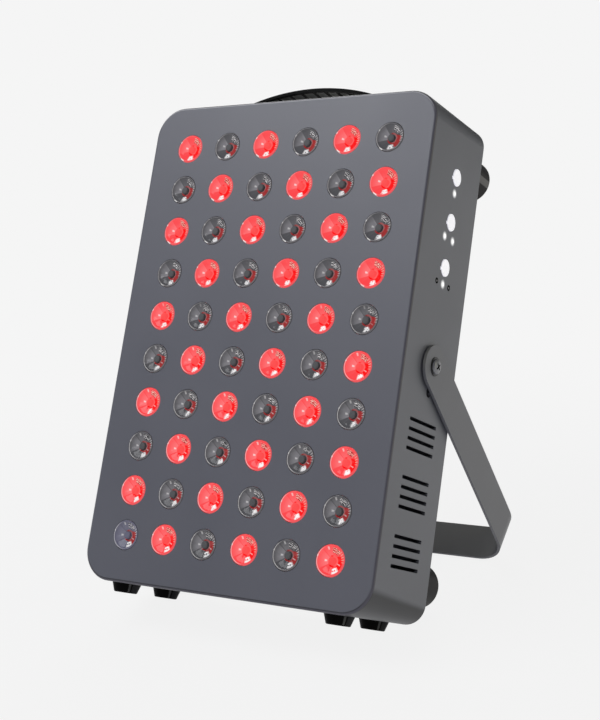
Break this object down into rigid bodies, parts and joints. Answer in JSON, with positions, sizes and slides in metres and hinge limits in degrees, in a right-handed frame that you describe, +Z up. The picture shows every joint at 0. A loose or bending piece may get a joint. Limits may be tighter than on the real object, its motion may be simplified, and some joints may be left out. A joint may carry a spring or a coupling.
{
  "type": "red light therapy panel",
  "caption": "Desk light therapy panel: a rounded flat metal box with a grid of red and clear lamp lenses, side push buttons, a top handle and a swinging U-shaped stand.",
  "frame": {"origin": "middle of the object's bounding box on the floor, standing on its rear feet and its stand", "axes": "+Z up, -Y the way the lamps face (leaned back), +X to the viewer's right"},
  "size_m": [0.2208, 0.2224, 0.3254],
  "materials": {
    "housing_paint": "satin grey paint",
    "stand_paint": "satin grey paint",
    "red_lens": "clear moulded lens over a red lamp",
    "clear_lens": "clear moulded lens",
    "lamp": "lamp package",
    "circuit_board": "solder mask",
    "board_metal": "white solder mask on aluminium",
    "aluminium": "plain extrusion",
    "brass": "plain",
    "steel_black": "black plated screws",
    "steel_case": "zinc plated",
    "black_plastic": "moulded",
    "white_plastic": "white caps",
    "light_pipe": "clear light pipe",
    "rubber": "black rubber"
  },
  "bodies": {
    "panel": {"housing": "housing_paint", "rear_cover": "housing_paint", "lenses_red": "red_lens", "lenses_clear": "clear_lens", "lamps_red": "lamp", "lamps_infrared": "lamp", "lamp_board": "board_metal", "board_standoffs": "brass", "heat_sink": "aluminium", "push_switches": "black_plastic", "indicator_lights": "light_pipe", "control_board": "circuit_board", "control_posts": "brass", "cover_screws": "steel_black", "fan_frame": "black_plastic", "fan_screws": "steel_black", "power_supply": "steel_case", "power_inlet": "black_plastic", "feet": "rubber", "foot_screws": "steel_black", "rear_bumpers": "rubber", "bumper_screws": "steel_black", "handle": "black_plastic", "handle_screws": "steel_black", "pivot_screws": "steel_black", "pivot_washers": "steel_black", "pivot_spacers": "black_plastic", "pivot_inserts": "steel_case"},
    "stand": {"stand": "stand_paint"},
    "power_button": {"power_button": "white_plastic"},
    "mode_button": {"mode_button": "white_plastic"},
    "timer_button": {"timer_button": "white_plastic"},
    "fan_rotor": {"fan_rotor": "black_plastic"}
  },
  "joints": [
    {"name": "stand_hinge", "type": "hinge", "parent": "panel", "child": "stand", "pos_m": [0, -0.01305, 0.15644], "axis": [1, 0, 0], "range_deg": [-229, 110]},
    {"name": "fan_spin", "type": "hinge", "parent": "panel", "child": "fan_rotor", "pos_m": [0, 0.04511, 0.19878], "axis": [0, 0.9007, -0.4344], "continuous": true},
    {"name": "power_button_press", "type": "slide", "parent": "panel", "child": "power_button", "axis": [-1, 0, 0], "range_m": [0, 0.0015], "stiffness_N_per_m": 300, "springref_m": -0.0015},
    {"name": "mode_button_press", "type": "slide", "parent": "panel", "child": "mode_button", "axis": [-1, 0, 0], "range_m": [0, 0.0015], "stiffness_N_per_m": 300, "springref_m": -0.0015},
    {"name": "timer_button_press", "type": "slide", "parent": "panel", "child": "timer_button", "axis": [-1, 0, 0], "range_m": [0, 0.0015], "stiffness_N_per_m": 300, "springref_m": -0.0015}
  ]
}
